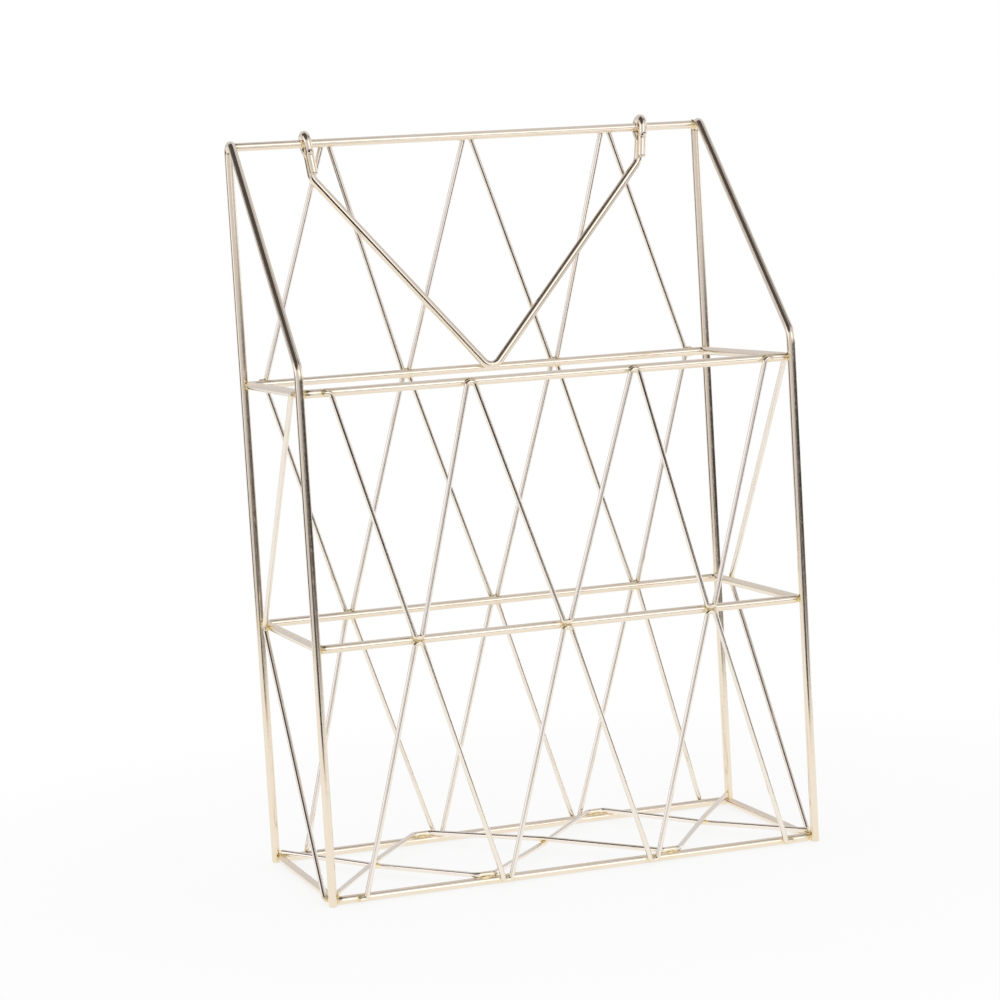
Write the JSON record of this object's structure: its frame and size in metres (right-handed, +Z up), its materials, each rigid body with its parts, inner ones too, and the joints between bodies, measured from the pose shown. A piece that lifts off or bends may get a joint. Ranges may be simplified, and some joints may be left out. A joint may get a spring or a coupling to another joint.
{
  "type": "wall magazine rack",
  "caption": "Gold-plated wire magazine rack with a zigzag lattice front and back, sloped sides and a V hanger that swings up to hang on a nail.",
  "frame": {"origin": "middle of the footprint, on the surface that the rack stands on", "axes": "+Z up, +Y towards the wall, +X to the right seen from the front"},
  "size_m": [0.245, 0.111, 0.3527],
  "materials": {
    "frame_wire": "polished champagne gold plate",
    "lattice_wire": "polished champagne gold plate"
  },
  "bodies": {
    "rack": {"side_frame_left": "frame_wire", "side_frame_right": "frame_wire", "top_rail": "frame_wire", "upper_ring": "frame_wire", "middle_ring": "frame_wire", "bottom_ring": "frame_wire", "front_lattice_upper": "lattice_wire", "front_lattice_lower": "lattice_wire", "rear_lattice_top": "lattice_wire", "rear_lattice_middle": "lattice_wire", "rear_lattice_lower": "lattice_wire", "side_brace_left": "lattice_wire", "side_brace_right": "lattice_wire", "floor_wire_under": "lattice_wire", "floor_wire_over": "lattice_wire"},
    "hanger": {"hanger": "frame_wire"}
  },
  "joints": [
    {"name": "hanger_swing", "type": "hinge", "parent": "rack", "child": "hanger", "pos_m": [0.0035, 0.04917, 0.3465], "axis": [-1, 0, 0], "range_deg": [0, 180]}
  ]
}
